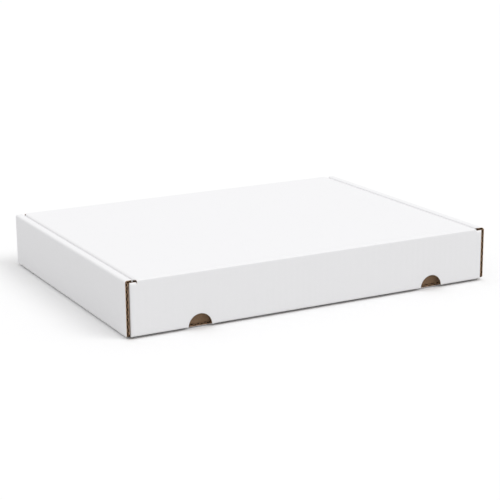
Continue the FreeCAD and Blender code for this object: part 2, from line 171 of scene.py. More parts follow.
@dataclass(frozen=True)
class BoxSizes:
    """Where the folded box's faces lie, read from the frame's solids, and the sizes that its pieces share.

    play is the free width in a side pocket, crease_band is how far a crease strip reaches on both sides of its
    edge, and corner_relief is the small cut at each end of a crease.
    """

    half_length: float
    half_depth: float
    height: float
    wall_setback: float
    panel_half: float
    flap_half: float
    flap_lift: float
    lid_flap_foot: float
    board: Board = field(default_factory=Board)
    play: float = 0.3
    flap_gap: float = 0.3
    top_gap: float = 0.7
    crease_band: float = 4.0
    corner_relief: float = 1.0
    thumb_spacing: float = 227.5
    thumb_offset: float = 3.5

    @staticmethod
    def from_frame() -> "BoxSizes":
        """The sizes that the frame's three solids give."""
        tray_low, tray_high = (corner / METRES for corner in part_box("tray"))
        lid_low, lid_high = (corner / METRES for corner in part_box("lid"))
        flap_low, flap_high = (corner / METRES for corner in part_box("front_flap"))
        return BoxSizes(
            half_length=tray_high.x,
            half_depth=lid_high.y,
            height=lid_high.z,
            wall_setback=lid_high.y + tray_low.y,
            panel_half=lid_high.x,
            flap_half=flap_high.x,
            flap_lift=flap_low.z,
            lid_flap_foot=lid_low.z,
        )

    @property
    def thick(self) -> float:
        """The board's thickness."""
        return self.board.thickness

    @property
    def roll_inside(self) -> float:
        """X of a rolled wall's inner face."""
        return self.half_length - 3 * self.thick - self.play

    @property
    def wall_half(self) -> float:
        """X of a corner flap's outer face."""
        return self.half_length - self.thick - self.play / 2

    @property
    def wall_face(self) -> float:
        """Distance from the middle to the front wall's outer face, behind the front flap."""
        return self.half_depth - self.thick - self.flap_gap

    @property
    def underside(self) -> float:
        """Height of the lid panel's underside."""
        return self.height - self.thick

    @property
    def wall_top(self) -> float:
        """Height of the front wall's rolled top."""
        return self.underside - self.top_gap

    @property
    def crease_half(self) -> float:
        """X of the lid's two creases' ends, short of the panel's sides by the relief cut at each corner."""
        return self.panel_half - self.corner_relief

    @property
    def depth_lines(self) -> np.ndarray:
        """Nine places along Y, evenly spaced over most of the depth."""
        return np.linspace(-0.8, 0.8, 9) * self.wall_face

    def crease_corner(self, outside: bool) -> tuple[float, float]:
        """Distance from the middle and height of a crease's sharp corner, on the outer or the inner face."""
        return (self.half_depth, self.height) if outside else (self.half_depth - self.thick, self.underside)

    @property
    def thumb_middles(self) -> tuple[float, float]:
        """X of the two thumb cuts' middles."""
        return self.thumb_offset - self.thumb_spacing / 2, self.thumb_offset + self.thumb_spacing / 2

    def from_thumb(self, x: np.ndarray) -> np.ndarray:
        """Distance along X from the middle of the nearer thumb cut."""
        left, right = self.thumb_middles
        return np.minimum(np.abs(x - left), np.abs(x - right))

    def thumb_lines(self, radius: float, count: int) -> np.ndarray:
        """Places along X on both half-rounds: each middle plus the radius times the cosine of even angles."""
        turn = np.cos(np.linspace(0.0, math.pi, count)) * radius
        return np.concatenate([middle + turn for middle in self.thumb_middles])


Outline = Sequence[tuple[float, float]]
Radii = tuple[float | Sequence[float], float | Sequence[float]]


@dataclass(frozen=True)
class Path:
    """A stretch of folded board in section: matching points of its outer and inner face.

    run is the length along the middle of the board, and leg counts the straight legs, with halves for folds.
    """

    outer: np.ndarray
    inner: np.ndarray
    run: np.ndarray
    leg: np.ndarray

    @property
    def fold(self) -> np.ndarray:
        """1 on a fold and 0 on a straight leg."""
        return (np.abs(self.leg - np.round(self.leg)) > ON_LEG).astype(float)

    def on_leg(self, number: int) -> np.ndarray:
        """Which points lie on a straight leg."""
        return np.abs(self.leg - number) < ON_LEG


def rounded(corners: Outline, radii: Sequence[float], legs: Sequence[np.ndarray]) -> tuple[np.ndarray, np.ndarray]:
    """Points along an outline of straight legs joined by arcs.

    A leg's points are its start plus a share of its length. A fold's points turn about the fold's middle, from the
    end of one leg to the start of the next: middle + radius times the turned unit vector.

    Args:
        corners: the outline's sharp corners.
        radii: radius of each fold.
        legs: for each leg, the shares of its length at which a point lies, from 0 to 1.

    Returns:
        The points as an array, and for each point its leg number, with halves on folds.
    """
    sharp = np.asarray(corners, float)
    steps = np.diff(sharp, axis=0)
    ways = steps / np.linalg.norm(steps, axis=1)[:, None]
    points, numbers = [], []
    for index, shares in enumerate(legs):
        start = sharp[index] + (ways[index] * radii[index - 1] if index > 0 else 0.0)
        finish = sharp[index + 1] - (ways[index] * radii[index] if index < len(legs) - 1 else 0.0)
        points.append(start + shares[:, None] * (finish - start))
        numbers.append(np.full(len(shares), float(index)))
        if index < len(legs) - 1:
            radius = radii[index]
            middle = finish + radius * ways[index + 1]
            angles = np.linspace(0.0, math.pi / 2, TURN_STEPS + 1)[1:-1]
            arc = middle - radius * (np.cos(angles)[:, None] * ways[index + 1] - np.sin(angles)[:, None] * ways[index])
            points.append(arc)
            numbers.append(np.full(len(angles), index + 0.5))
    return np.concatenate(points), np.concatenate(numbers)


def shares_for(length: float, spacing: float, ends: Sequence[float] = ()) -> np.ndarray:
    """Shares of a leg's length, evenly spaced, with extra lines near both ends.

    Args:
        length: the leg's length.
        spacing: the widest step.
        ends: extra distances from each end.

    Returns:
        Shares from 0 to 1, in order and without repeats.
    """
    even = np.linspace(0.0, 1.0, max(2, int(math.ceil(length / spacing)) + 1))
    near = [distance / length for distance in ends if distance < length / 2]
    shares = np.concatenate([even, near, [1.0 - share for share in near]])
    return np.unique(np.round(shares, 6))


def folded_path(outer: Outline, inner: Outline, board: Board, spacing: float, radii: Radii,
                extra: Optional[tuple[int, np.ndarray]] = None) -> Path:
    """The section of a folded stretch of board, with the outer and the inner face side by side.

    Args:
        outer: sharp corners of the outer face.
        inner: sharp corners of the inner face, as many.
        board: the board.
        spacing: the widest step along a straight leg.
        radii: the outer and the inner face's fold radius, each one number or one for each fold.
        extra: a leg's number and further shares of its length that get a point.

    Returns:
        The path.
    """
    lengths = np.linalg.norm(np.diff(np.asarray(inner, float), axis=0), axis=1)
    legs = [shares_for(length, spacing, board.edge_lines[1:]) for length in lengths]
    if extra is not None:
        leg, shares = extra
        legs[leg] = np.unique(np.round(np.concatenate([legs[leg], shares]), 6))
    outer_radii, inner_radii = (np.broadcast_to(radius, len(legs) - 1) for radius in radii)
    outer_points, numbers = rounded(outer, outer_radii, legs)
    inner_points, _ = rounded(inner, inner_radii, legs)
    middle = (outer_points + inner_points) / 2
    run = np.concatenate([[0.0], np.cumsum(np.linalg.norm(np.diff(middle, axis=0), axis=1))])
    return Path(outer_points, inner_points, run, numbers)


@dataclass
class Grid:
    """A sheet on a grid: its outer and inner face, and what the materials read.

    outer and inner have a point for each row and column. across and along are millimetres across and along the
    flutes. rim is the distance from the nearest cut edge, fold is 1 on a fold, keep says which cells exist, and
    pinch is the share of the thickness that the die took at the cut edges.
    """

    outer: np.ndarray
    inner: np.ndarray
    across: np.ndarray
    along: np.ndarray
    rim: np.ndarray
    fold: np.ndarray
    keep: Optional[np.ndarray] = None
    pinch: float | np.ndarray = 0.06


class SheetMesh:
    """Collects closed sheets of paper into one mesh: their points, faces, finishes, map, rims and folds."""

    def __init__(self, name: str, board: Board) -> None:
        """Starts an empty mesh.

        Args:
            name: the piece's name.
            board: the board it is made of.
        """
        self.name = name
        self.board = board
        self.points: list[np.ndarray] = []
        self.quads: list[np.ndarray] = []
        self.finishes: list[np.ndarray] = []
        self.maps: list[np.ndarray] = []
        self.rims: list[np.ndarray] = []
        self.folds: list[np.ndarray] = []
        self.count = 0

    def add_layer(self, grid: Grid, high: np.ndarray, low: np.ndarray, top: Finish, under: Finish) -> None:
        """Adds one closed layer of paper between two heights in the board.

        A point at height w is the inner face plus w times the way to the outer face. The layer's two faces are the
        grid at heights high and low, and its rims are strips between them along every edge of the kept cells.

        Args:
            grid: the sheet.
            high: the layer's upper height, from 0 to 1, for each point.
            low: the layer's lower height, for each point.
            top: finish of the upper face.
            under: finish of the lower face.
        """
        way = grid.outer - grid.inner
        squeeze = self.board.pinch(grid.rim, grid.pinch)[..., None]
        upper = grid.inner + way * high[..., None] * squeeze
        lower = grid.inner + way * low[..., None] * squeeze
        rows, columns = upper.shape[:2]
        keep = grid.keep if grid.keep is not None else np.ones((rows - 1, columns - 1), bool)
        number = np.arange(rows * columns).reshape(rows, columns)
        a, b, c, d = number[:-1, :-1], number[1:, :-1], number[1:, 1:], number[:-1, 1:]
        face = np.stack([a[keep], b[keep], c[keep], d[keep]], axis=1)
        offset = rows * columns
        quads = [face, face[:, ::-1] + offset]
        finishes = [np.full(len(face), top.value), np.full(len(face), under.value)]
        padded = np.pad(keep, 1)
        middle = padded[1:-1, 1:-1]
        for start, end, beside in ((a, b, padded[1:-1, :-2]), (b, c, padded[2:, 1:-1]),
                                   (c, d, padded[1:-1, 2:]), (d, a, padded[:-2, 1:-1])):
            edge = middle & ~beside
            p, q = start[edge], end[edge]
            quads.append(np.stack([q, p, p + offset, q + offset], axis=1))
            finishes.append(np.full(len(p), Finish.CUT.value))
        points = np.concatenate([upper.reshape(-1, 3), lower.reshape(-1, 3)])
        quads_all = np.concatenate(quads)
        if self._turned_in(points, face, offset):
            quads_all = quads_all[:, ::-1]
        used, inverse = np.unique(quads_all, return_inverse=True)
        across, along, rim, fold = (np.concatenate([part.ravel(), part.ravel()])[used] for part in
                                    (grid.across, grid.along, grid.rim, grid.fold))
        self.points.append(points[used])
        self.quads.append(inverse.reshape(-1, 4) + self.count)
        self.finishes.append(np.concatenate(finishes))
        self.maps.append(np.stack([across, along], axis=1))
        self.rims.append(rim)
        self.folds.append(fold)
        self.count += len(used)

    @staticmethod
    def _turned_in(points: np.ndarray, face: np.ndarray, offset: int) -> bool:
        """True if the upper faces' normals point towards the lower face."""
        corner, first, last = points[face[:, 0]], points[face[:, 1]], points[face[:, 3]]
        normal = np.cross(first - corner, last - corner)
        return float((normal * (corner - points[face[:, 0] + offset])).sum()) < 0

    def add_liner(self, grid: Grid, outside: bool, shown: Finish) -> None:
        """Adds one flat liner: the outer one, or the inner one.

        Args:
            grid: the sheet.
            outside: True for the liner on the outer face.
            shown: finish of its face outside the board; the face on the flutes has the flutes' finish.
        """
        share = self.board.liner / self.board.thickness
        level = np.ones(grid.rim.shape)
        if outside:
            self.add_layer(grid, level, level - share, shown, Finish.FLUTE)
        else:
            self.add_layer(grid, level * share, level * 0.0, Finish.FLUTE, shown)

    def add_medium(self, grid: Grid) -> None:
        """Adds the wave of paper between the liners, flattened where the board is folded.

        Args:
            grid: the sheet, with enough points across the flutes.
        """
        half = self.board.medium / 2 / self.board.thickness
        crush = 1.0 - self.board.fold_crush * grid.fold
        middle = 0.5 + (self.board.wave(grid.across) - 0.5) * crush
        self.add_layer(grid, middle + half, middle - half, Finish.FLUTE, Finish.FLUTE)

    def add_board(self, grid_at: Callable[[float], Grid], liner_step: Optional[float] = None) -> None:
        """Adds whole board: both liners on a coarse grid and the wave of paper on a fine one.

        Args:
            grid_at: makes the sheet's grid at a spacing across the flutes.
            liner_step: the liners' spacing, or None for the board's own.
        """
        coarse = grid_at(liner_step or self.board.liner_step)
        self.add_liner(coarse, True, Finish.WHITE)
        self.add_liner(coarse, False, Finish.KRAFT)
        self.add_medium(grid_at(self.board.medium_step))

    def build(self, materials: Sequence[bpy.types.Material]) -> bpy.types.Object:
        """Makes the object, in metres, with its faces, finishes, map and attributes.

        Args:
            materials: the materials in the order of Finish.

        Returns:
            The object, linked to the scene.
        """
        points = np.concatenate(self.points) * METRES
        quads = np.concatenate(self.quads)
        mesh = bpy.data.meshes.new(self.name)
        mesh.vertices.add(len(points))
        mesh.vertices.foreach_set("co", points.ravel().astype(np.float32))
        mesh.loops.add(quads.size)
        mesh.loops.foreach_set("vertex_index", quads.ravel().astype(np.int32))
        mesh.polygons.add(len(quads))
        mesh.polygons.foreach_set("loop_start", np.arange(0, quads.size, 4, dtype=np.int32))
        mesh.polygons.foreach_set("material_index", np.concatenate(self.finishes).astype(np.int32))
        mesh.update(calc_edges=True)
        plan = np.concatenate(self.maps)[quads.ravel()] * METRES
        mesh.uv_layers.new(name="board").data.foreach_set("uv", plan.ravel().astype(np.float32))
        near = np.exp(-np.concatenate(self.rims) / RIM_FADE)
        for name, values in (("rim", near), ("fold", np.concatenate(self.folds))):
            attribute = mesh.attributes.new(name, "FLOAT", "POINT")
            attribute.data.foreach_set("value", values.astype(np.float32))
        mesh.polygons.foreach_set("use_smooth", np.ones(len(quads), bool))
        mesh.set_sharp_from_angle(angle=math.radians(SHARP_ANGLE))
        for material in materials:
            mesh.materials.append(material)
        mesh.validate()
        piece = bpy.data.objects.new(self.name, mesh)
        bpy.context.scene.collection.objects.link(piece)
        LOG.info("%s: %d faces", self.name, len(quads))
        return piece


def place(plane: str, first: np.ndarray, second: np.ndarray, third: np.ndarray) -> np.ndarray:
    """Points of the box from a section's two coordinates and the place along its third axis.

    Args:
        plane: the section's plane, "XZ", "YZ" or "XY".
        first: the section's first coordinate.
        second: its second coordinate.
        third: the place along the axis that the plane leaves out.

    Returns:
        An array of points.
    """
    order = {"XZ": (first, third, second), "YZ": (third, first, second), "XY": (first, second, third)}
    return np.stack(np.broadcast_arrays(*order[plane]), axis=-1)


@dataclass(frozen=True)
class Stretch:
    """One stretch of folded board, swept along the axis that its section's plane leaves out.

    cut_start and cut_end say whether the section's first and last point lie on a cut edge.
    """

    board: Board
    plane: str
    outer: Outline
    inner: Outline
    radii: Radii
    flutes_along_sweep: bool
    cut_start: bool = True
    cut_end: bool = True

    def path(self, spacing: float, extra: Optional[tuple[int, np.ndarray]] = None) -> Path:
        """The section at a spacing, with any further points on one leg."""
        return folded_path(self.outer, self.inner, self.board, spacing, self.radii, extra)

    def grid(self, path: Path, sweep: np.ndarray, ends: tuple[bool, bool], keep: Optional[np.ndarray] = None) -> Grid:
        """The sheet's grid: rows along the section, columns along the sweep.

        Args:
            path: the section.
            sweep: places along the sweep, one row of columns for each point of the section.
            ends: whether the sweep's low and high ends are cut edges.
            keep: which cells exist.

        Returns:
            The grid.
        """
        outer = place(self.plane, path.outer[:, :1], path.outer[:, 1:], sweep)
        inner = place(self.plane, path.inner[:, :1], path.inner[:, 1:], sweep)
        run = path.run[:, None] + 0 * sweep
        rim = np.full(sweep.shape, FAR)
        if ends[0]:
            rim = np.minimum(rim, sweep - sweep[:, :1])
        if ends[1]:
            rim = np.minimum(rim, sweep[:, -1:] - sweep)
        if self.cut_start:
            rim = np.minimum(rim, run)
        if self.cut_end:
            rim = np.minimum(rim, path.run[-1] - run)
        across, along = (run, sweep) if self.flutes_along_sweep else (sweep, run)
        return Grid(outer, inner, across, along, rim, path.fold[:, None] + 0 * sweep, keep)


def sweep_lines(low: np.ndarray, high: np.ndarray, board: Board, middle: Sequence[float]) -> np.ndarray:
    """Places along the sweep for each row: lines near both ends and lines between them.

    Near the low end a line lies at low plus a distance, near the high end at high minus it, and the lines between
    lie at the fixed places given.

    Args:
        low: the low end for each row.
        high: the high end for each row.
        board: the board, whose edge_lines are the distances.
        middle: the fixed places.

    Returns:
        One row of places for each row of the section.
    """
    edges = np.asarray(board.edge_lines)
    between = np.broadcast_to(np.asarray(middle, float), (len(low), len(middle)))
    return np.concatenate([low[:, None] + edges, between, high[:, None] - edges[::-1]], axis=1)


def even_lines(half: float, spacing: float, more: Sequence[float]) -> np.ndarray:
    """Places from minus half to half: even steps and some more, in order and without repeats.

    Args:
        half: how far the places reach from the middle.
        spacing: the width of the even steps.
        more: further places.

    Returns:
        The places.
    """
    line = np.linspace(-half, half, int(2 * half / spacing) + 1)
    return np.unique(np.round(np.concatenate([line, more]), 4))


def rows_of(line: np.ndarray, path: Path) -> np.ndarray:
    """The same places along the sweep for every row of a section."""
    return np.broadcast_to(line, (len(path.run), len(line))).copy()


@dataclass(frozen=True)
class Tray:
    """The tray: base and rolled side walls in one chain, front and back walls with their corner flaps and folds.

    A corner flap is corner_flap long, ends corner_drop below the front wall's top and starts corner_lift above the
    base. A bottom fold reaches fold_reach into the base and fold_rise above it, and cut_foot is left of it in a
    half-round cut. The base rises by base_lift over its last base_bow. The inner walls stand inner_wall_gap from
    the front and back walls and foot_gap above the base, and lean out by roll_lean. The lining starts on the front
    wall at the height lining_start. A tab's middle lies tab_middle from the box's middle, and its end tab_lift up.
    """

    sizes: BoxSizes
    corner_flap: float = 70.0
    corner_drop: float = 1.0
    corner_lift: float = 0.6
    wall_cut_radius: float = 11.4
    cut_foot: float = 0.9
    fold_reach: float = 3.0
    fold_rise: float = 0.9
    base_lift: float = 0.3
    base_bow: float = 30.0
    inner_wall_gap: float = 0.5
    foot_gap: float = 0.3
    roll_lean: float = 0.9
    lining_gap: float = 0.3
    lining_start: float = 41.0
    lining_side_gap: float = 3.0
    tab_half: float = 21.0
    tab_middle: float = 66.0
    tab_play: float = 0.4
    tab_lift: float = 0.5

    @property
    def board(self) -> Board:
        """The board that the tray is made of."""
        return self.sizes.board

    @property
    def lining_half(self) -> float:
        """X of the front lining's ends, inside the lid's side flaps."""
        return self.sizes.panel_half - self.lining_side_gap

    @property
    def inner_foot(self) -> float:
        """Height of the inner side walls' feet."""
        return self.sizes.thick + self.foot_gap + self.base_lift

    @property
    def fold_top(self) -> float:
        """Height at which a front or back wall's bottom fold ends."""
        return self.sizes.thick + self.fold_rise

    @property
    def fold_sizes(self) -> tuple[float, float, float]:
        """Outer radii of a side wall's three folds: over to the inner wall, over to the outer wall, to the base."""
        return self.board.roll_radius, self.board.fold_radius, self.board.bottom_radius

    def _wall_face(self, front: bool) -> float:
        """Distance from the middle to the front or back wall's outer face."""
        return self.sizes.wall_face if front else self.sizes.half_depth

    def _roll_corners(self) -> tuple[Outline, Outline]:
        """Corners of the chain from one inner wall's foot, over, down, under the base and up to the other one.

        Returns:
            The outer and the inner face's corners.
        """
        s = self.sizes
        t = s.thick
        out = s.half_length
        foot = self.inner_foot
        top = s.roll_inside + self.roll_lean
        half_outer = [(s.roll_inside, foot), (top, s.height), (out, s.height), (out, 0.0)]
        half_inner = [(s.roll_inside + t, foot), (top + t, s.underside), (out - t, s.underside), (out - t, t)]
        outer = [(-x, z) for x, z in half_outer] + half_outer[::-1]
        inner = [(-x, z) for x, z in half_inner] + half_inner[::-1]
        return outer, inner

    def _bowed(self, path: Path) -> Path:
        """Lifts the base a little towards both side folds, as a folded board's base bows.

        The lift times a smooth ramp from 0 inside to 1 at the fold, fading to 0 up the fold.

        Args:
            path: the chain's section with a flat base.

        Returns:
            The section with the base bowed.
        """
        step = np.clip((np.abs(path.outer[:, 0]) - self.sizes.half_length + self.base_bow) / self.base_bow, 0.0, 1.0)
        up = np.clip(1.0 - path.outer[:, 1] / self.board.bottom_radius, 0.0, 1.0)
        lift = self.base_lift * step * step * (3.0 - 2.0 * step) * up * (np.abs(path.leg - BASE_LEG) < 0.6)
        rise = np.stack([0 * lift, lift], axis=1)
        return Path(path.outer + rise, path.inner + rise, path.run, path.leg)

    def base_and_sides(self) -> SheetMesh:
        """The base with both rolled walls. Its flutes run from front to back and open at every cut end.

        Returns:
            The mesh.
        """
        s = self.sizes
        outer, inner = self._roll_corners()
        radii = (self.fold_sizes + self.fold_sizes[::-1], self.board.inner_radius)
        stretch = Stretch(self.board, "XZ", outer, inner, radii, flutes_along_sweep=True)
        slot_x = np.array([s.roll_inside - self.tab_play, s.roll_inside + s.thick + self.tab_play])
        slot_y = self.tab_middle + np.array([-1, 1]) * (self.tab_half + self.tab_play)
        reach = s.half_length - self.board.bottom_radius
        shares = np.concatenate([0.5 - slot_x / (2 * reach), 0.5 + slot_x / (2 * reach)])
        fixed = np.unique(np.concatenate([s.depth_lines, slot_y, -slot_y]))

        def grid(spacing: float) -> Grid:
            """The chain's grid, without the cells of the four slots.

            Args:
                spacing: the widest step along the section.

            Returns:
                The grid.
            """
            path = self._bowed(stretch.path(spacing, (BASE_LEG, shares)))
            low, high = self._side_ends(path)
            sweep = sweep_lines(low, high, self.board, fixed)
            x = np.abs(path.outer[1:, 0] + path.outer[:-1, 0])[:, None] / 2
            y = np.abs(sweep[1:, 1:] + sweep[1:, :-1]) / 2
            on_base = path.on_leg(BASE_LEG)
            slot = on_base[1:, None] & (x > slot_x[0]) & (x < slot_x[1]) & (y > slot_y[0]) & (y < slot_y[1])
            made = stretch.grid(path, sweep, (True, True), ~slot)
            made.rim[on_base] = FAR
            return made

        mesh = SheetMesh("tray_base_and_rolled_walls", self.board)
        mesh.add_board(grid)
        for side in (-1, 1):
            for middle in (-self.tab_middle, self.tab_middle):
                self._add_tab(mesh, side, middle)
        return mesh

    def _add_tab(self, mesh: SheetMesh, side: int, middle: float) -> None:
        """Adds one locking tab, which stands in its slot in the base below the inner wall.

        Args:
            mesh: the mesh that gets the tab.
            side: -1 for the left wall and 1 for the right one.
            middle: Y of the tab's middle.
        """
        outer_x, inner_x = side * self.sizes.roll_inside, side * (self.sizes.roll_inside + self.sizes.thick)
        outer = [(outer_x, self.tab_lift), (outer_x, self.inner_foot)]
        inner = [(inner_x, self.tab_lift), (inner_x, self.inner_foot)]
        stretch = Stretch(self.board, "XZ", outer, inner, self.board.fold_radii, flutes_along_sweep=True,
                          cut_end=False)
        path = stretch.path(spacing=1.0)
        ends = np.full(len(path.run), self.tab_half)
        sweep = sweep_lines(middle - ends, middle + ends, self.board, (middle,))
        mesh.add_board(lambda _: stretch.grid(path, sweep, (True, True)))

    def _side_ends(self, path: Path) -> tuple[np.ndarray, np.ndarray]:
        """The chain's front and back ends for each point of its section, by leg.

        On a leg all points have the leg's own ends. Round a fold the ends run from one leg's to the next, evenly
        with the turn.

        Args:
            path: the chain's section, whose legs are 0 and 6 the inner walls, 1 and 5 the rolled tops, 2 and 4 the
                outer walls and 3 the base.

        Returns:
            The front end and the back end.
        """
        s = self.sizes
        side = s.half_depth - s.wall_setback
        back_face = s.half_depth
        inside = s.thick + self.inner_wall_gap
        front_ends = (s.wall_face - inside, s.wall_face, side, s.wall_face - self.fold_reach)
        back_ends = (back_face - inside, side, side, back_face - self.fold_reach)
        number = np.minimum(path.leg, 2 * BASE_LEG - path.leg)
        front, back = (np.interp(number, range(len(values)), values) for values in (front_ends, back_ends))
        for leg in range(BASE_LEG):
            on_fold = np.abs(number - leg - 0.5) < ON_LEG
            share = self._turned(path.outer[on_fold], leg)
            for ends, values in ((front, front_ends), (back, back_ends)):
                ends[on_fold] = values[leg] + (values[leg + 1] - values[leg]) * share
        return -front, back

    def _turned(self, points: np.ndarray, leg: int) -> np.ndarray:
        """How far points have turned round the fold after a leg: 0 at the inner wall's side, 1 at the base's side.

        Half of the fold's corner coordinates: the share of the radius that the point has passed in X and in Z.

        Args:
            points: points of the outer face on the fold, as X and Z.
            leg: the number of the leg before the fold.

        Returns:
            One share for each point.
        """
        s = self.sizes
        radius = self.fold_sizes[leg]
        x, z = np.abs(points[:, 0]), points[:, 1]
        passed = (x - s.roll_inside - self.roll_lean + z - (s.height - radius),
                  x - (s.half_length - radius) + s.height - z,
                  s.half_length - x + radius - z)[leg]
        return np.clip(passed / (2 * radius), 0.0, 1.0)

    def wall(self, name: str, front: bool) -> SheetMesh:
        """The front or back wall, whose ends turn into the side pockets as corner flaps. Its flutes stand upright.

        Args:
            name: the piece's name.
            front: True for the front wall, which has the half-round cuts.

        Returns:
            The mesh.
        """
        s = self.sizes
        t = s.thick
        wide = s.wall_half
        face = self._wall_face(front)
        tip = face - self.corner_flap
        sign = -1.0 if front else 1.0
        outer = [(-wide, sign * tip), (-wide, sign * face), (wide, sign * face), (wide, sign * tip)]
        inner = [(-wide + t, sign * tip), (-wide + t, sign * (face - t)), (wide - t, sign * (face - t)),
                 (wide - t, sign * tip)]
        stretch = Stretch(self.board, "XY", outer, inner, self.board.fold_radii, flutes_along_sweep=True)
        limit = self.lining_half if front else s.crease_half
        places = [s.thumb_lines(self.wall_cut_radius, count=33)] if front else []
        places.append([side * limit + jump for side in (-1, 1) for jump in (-JUMP, JUMP)])
        span = wide - t - self.board.inner_radius
        extra = (1, (np.concatenate(places) + span) / (2 * span))

        def grid(spacing: float) -> Grid:
            """The wall's grid.

            Args:
                spacing: the widest step along the section.

            Returns:
                The grid.
            """
            path = stretch.path(spacing, extra)
            x = path.inner[:, 0]
            on_wall = path.on_leg(1)
            low = np.where(on_wall, self.fold_top, t + self.corner_lift)
            inside = on_wall & (np.abs(x) < limit)
            if front:
                low = np.where(on_wall, np.maximum(low, self._cut_height(x)), low)
                high = np.where(inside, self.lining_start, s.wall_top - self.corner_drop)
            else:
                high = np.where(inside, s.height - s.crease_band, s.underside - s.flap_gap)
            sweep = low[:, None] + (high - low)[:, None] * self.board.spread(high - low, (0.3, 0.5, 0.7))
            made = stretch.grid(path, sweep, (False, True))
            made.rim[inside] = FAR
            if front:
                made.rim = np.minimum(made.rim, self._cut_distance(x[:, None], sweep))
            return made

        mesh = SheetMesh(name, self.board)
        mesh.add_board(grid)
        return mesh

    def _cut_height(self, x: np.ndarray) -> np.ndarray:
        """Height of a half-round cut's edge at a place along the front wall.

        The circle's height: its middle plus the root of the radius squared minus the distance squared.
        """
        away = self.sizes.from_thumb(x)
        return self.sizes.flap_lift + np.sqrt(np.maximum(self.wall_cut_radius ** 2 - away ** 2, 0.0))

    def _cut_distance(self, x: np.ndarray, z: np.ndarray) -> np.ndarray:
        """Distance of a point of the front wall from the nearer half-round cut."""
        return np.abs(np.hypot(self.sizes.from_thumb(x), z - self.sizes.flap_lift) - self.wall_cut_radius)

    def bottom_fold(self, name: str, front: bool) -> SheetMesh:
        """The fold between the base and the front or back wall. Its flutes run round the fold.

        In the half-round cuts only the foot of the fold is kept.

        Args:
            name: the piece's name.
            front: True for the front fold, which the half-round cuts break.

        Returns:
            The mesh.
        """
        s = self.sizes
        t = s.thick
        face = self._wall_face(front)
        sign = -1.0 if front else 1.0
        start = sign * (face - self.fold_reach)
        outer = [(start, 0.0), (sign * face, 0.0), (sign * face, self.fold_top)]
        inner = [(start, t), (sign * (face - t), t), (sign * (face - t), self.fold_top)]
        stretch = Stretch(self.board, "YZ", outer, inner, self.board.fold_radii, flutes_along_sweep=False,
                          cut_start=False, cut_end=False)
        path = stretch.path(spacing=3.0)
        cut_half = self.wall_cut_radius - MARGIN
        edges = [middle + end * cut_half for middle in s.thumb_middles for end in (-1, 1)]

        def grid(spacing: float) -> Grid:
            """The fold's grid.

            Args:
                spacing: the step along X.

            Returns:
                The grid.
            """
            line = even_lines(s.wall_half - self.board.fold_radius, spacing, edges)
            whole = s.from_thumb((line[1:] + line[:-1]) / 2) > cut_half if front else np.full(len(line) - 1, True)
            keep = whole[None, :] | (path.outer[1:, 1] < self.cut_foot)[:, None]
            return stretch.grid(path, rows_of(line, path), (True, True), keep)

        mesh = SheetMesh(name, self.board)
        mesh.add_board(grid, liner_step=self.board.pitch / 2)
        return mesh

    def front_lining(self) -> SheetMesh:
        """The front wall's lining: it folds over the wall's top and stands on the base behind it.

        Returns:
            The mesh.
        """
        s = self.sizes
        t = s.thick
        face = s.wall_face
        back = face - 2 * t - self.lining_gap
        foot = t + self.foot_gap
        outer = [(-face, self.lining_start), (-face, s.wall_top), (-back, s.wall_top), (-back, foot)]
        inner = [(-face + t, self.lining_start), (-face + t, s.wall_top - t), (-back - t, s.wall_top - t),
                 (-back - t, foot)]
        radii = (self.board.fold_radius, self.board.tight_radius)
        stretch = Stretch(self.board, "YZ", outer, inner, radii, flutes_along_sweep=False, cut_start=False)
        path = stretch.path(spacing=4.0)
        near = [side * (self.lining_half - step) for side in (-1, 1) for step in self.board.edge_lines[1:]]

        mesh = SheetMesh("tray_front_lining", self.board)
        mesh.add_board(lambda spacing: stretch.grid(path, rows_of(even_lines(self.lining_half, spacing, near), path),
                                                    (True, True)))
        return mesh


@dataclass(frozen=True)
class Lid:
    """The lid's panel and its two side flaps, folded down inside the rolled walls.

    A side flap's ends stand flap_gap from the front and back walls at its top, and flap_taper more at its foot.
    """

    sizes: BoxSizes
    flap_taper: float = 9.0
    flap_gap: float = 0.8

    def panel(self) -> SheetMesh:
        """The panel with its side flaps. Its flutes run from front to back.

        A side flap's ends lean in towards its lower edge: the taper times the share of the flap's height passed.

        Returns:
            The mesh.
        """
        s = self.sizes
        t = s.thick
        wide, foot = s.panel_half, s.lid_flap_foot
        outer = [(-wide, foot), (-wide, s.height), (wide, s.height), (wide, foot)]
        inner = [(-wide + t, foot), (-wide + t, s.underside), (wide - t, s.underside), (wide - t, foot)]
        radii = (s.board.lid_radius, s.board.inner_radius)
        stretch = Stretch(s.board, "XZ", outer, inner, radii, flutes_along_sweep=True)

        def grid(spacing: float) -> Grid:
            """The panel's grid.

            Args:
                spacing: the widest step along the section.

            Returns:
                The grid.
            """
            path = stretch.path(spacing)
            on_flap = path.outer[:, 1] < s.height - s.corner_relief - MARGIN
            height = (path.outer[:, 1] + path.inner[:, 1]) / 2
            lean = self.flap_taper * (s.underside - height) / (s.underside - foot)
            front, back = (np.where(on_flap, face - t - self.flap_gap - lean, s.half_depth - s.crease_band)
                           for face in (s.wall_face, s.half_depth))
            made = stretch.grid(path, sweep_lines(-front, back, s.board, s.depth_lines), (True, True))
            made.rim[~on_flap] = FAR
            made.pinch = 0.0
            return made

        mesh = SheetMesh("lid_panel_and_side_flaps", s.board)
        mesh.add_board(grid)
        return mesh


